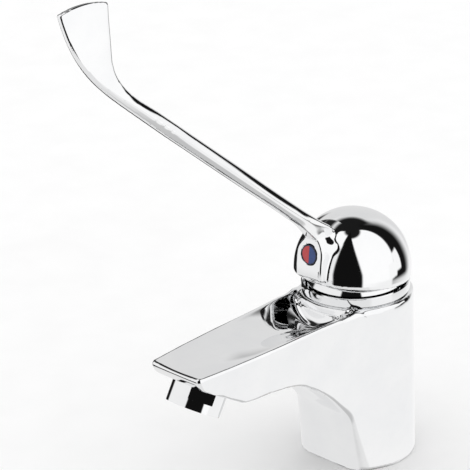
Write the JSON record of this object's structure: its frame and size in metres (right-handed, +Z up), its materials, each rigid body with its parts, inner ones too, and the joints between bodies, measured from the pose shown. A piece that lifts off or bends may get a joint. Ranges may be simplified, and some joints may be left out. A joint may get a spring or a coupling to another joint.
{
  "type": "basin tap",
  "caption": "Single-lever basin mixer with a round column, a dished flat spout, a domed handle and a long raised lever for elbow use.",
  "frame": {"origin": "centre of the round column's foot, on the surface of the basin's deck", "axes": "+Z up along the column, -Y the way the spout and the lever point, +X to the right of a user who faces the tap"},
  "size_m": [0.0508, 0.1813, 0.2954],
  "materials": {
    "chromed_brass": "bright chrome plate on brass",
    "bare_brass": "machined, unplated",
    "steel": "stainless or zinc plated",
    "ceramic": null,
    "cartridge_plastic": "moulded acetal",
    "black_rubber": "matt nitrile rubber",
    "dark_plastic": "gloss moulding",
    "red_plastic": "gloss moulding",
    "blue_plastic": "gloss moulding"
  },
  "bodies": {
    "column": {"tap_body": "chromed_brass", "collar_ring": "chromed_brass", "cartridge_cover": "chromed_brass", "cover_o_ring": "black_rubber", "retaining_nut": "bare_brass", "cartridge_housing": "cartridge_plastic", "cartridge_base": "cartridge_plastic", "inlet_seals": "black_rubber", "fixed_disc": "ceramic", "aerator_housing": "chromed_brass", "jet_former": "cartridge_plastic", "aerator_gauze": "steel", "aerator_gasket": "black_rubber", "base_seal": "black_rubber", "fixing_stud": "bare_brass", "clamp_gasket": "black_rubber", "clamp_plate": "steel", "clamp_nut": "bare_brass"},
    "turret": {"rotor": "cartridge_plastic", "pivot_pin": "steel"},
    "lever": {"handle": "chromed_brass", "stem": "bare_brass", "grub_screw": "steel", "index_plug": "dark_plastic", "index_hot": "red_plastic", "index_cold": "blue_plastic"},
    "disc_slide": {"disc_carrier": "cartridge_plastic", "moving_disc": "ceramic"}
  },
  "joints": [
    {"name": "temperature_turn", "type": "hinge", "parent": "column", "child": "turret", "pos_m": [0, 0, 0.072], "axis": [0, 0, 1], "range_deg": [-45, 45]},
    {"name": "flow_lift", "type": "hinge", "parent": "turret", "child": "lever", "pos_m": [0, 0, 0.072], "axis": [-1, 0, 0], "range_deg": [-17, 1]},
    {"name": "disc_travel", "type": "slide", "parent": "turret", "child": "disc_slide", "axis": [0, 1, 0], "range_m": [-0.0003, 0.0027]}
  ],
  "couplings": [
    {"joint": "disc_travel", "follows": "flow_lift", "m_per_rad": -0.00847}
  ]
}
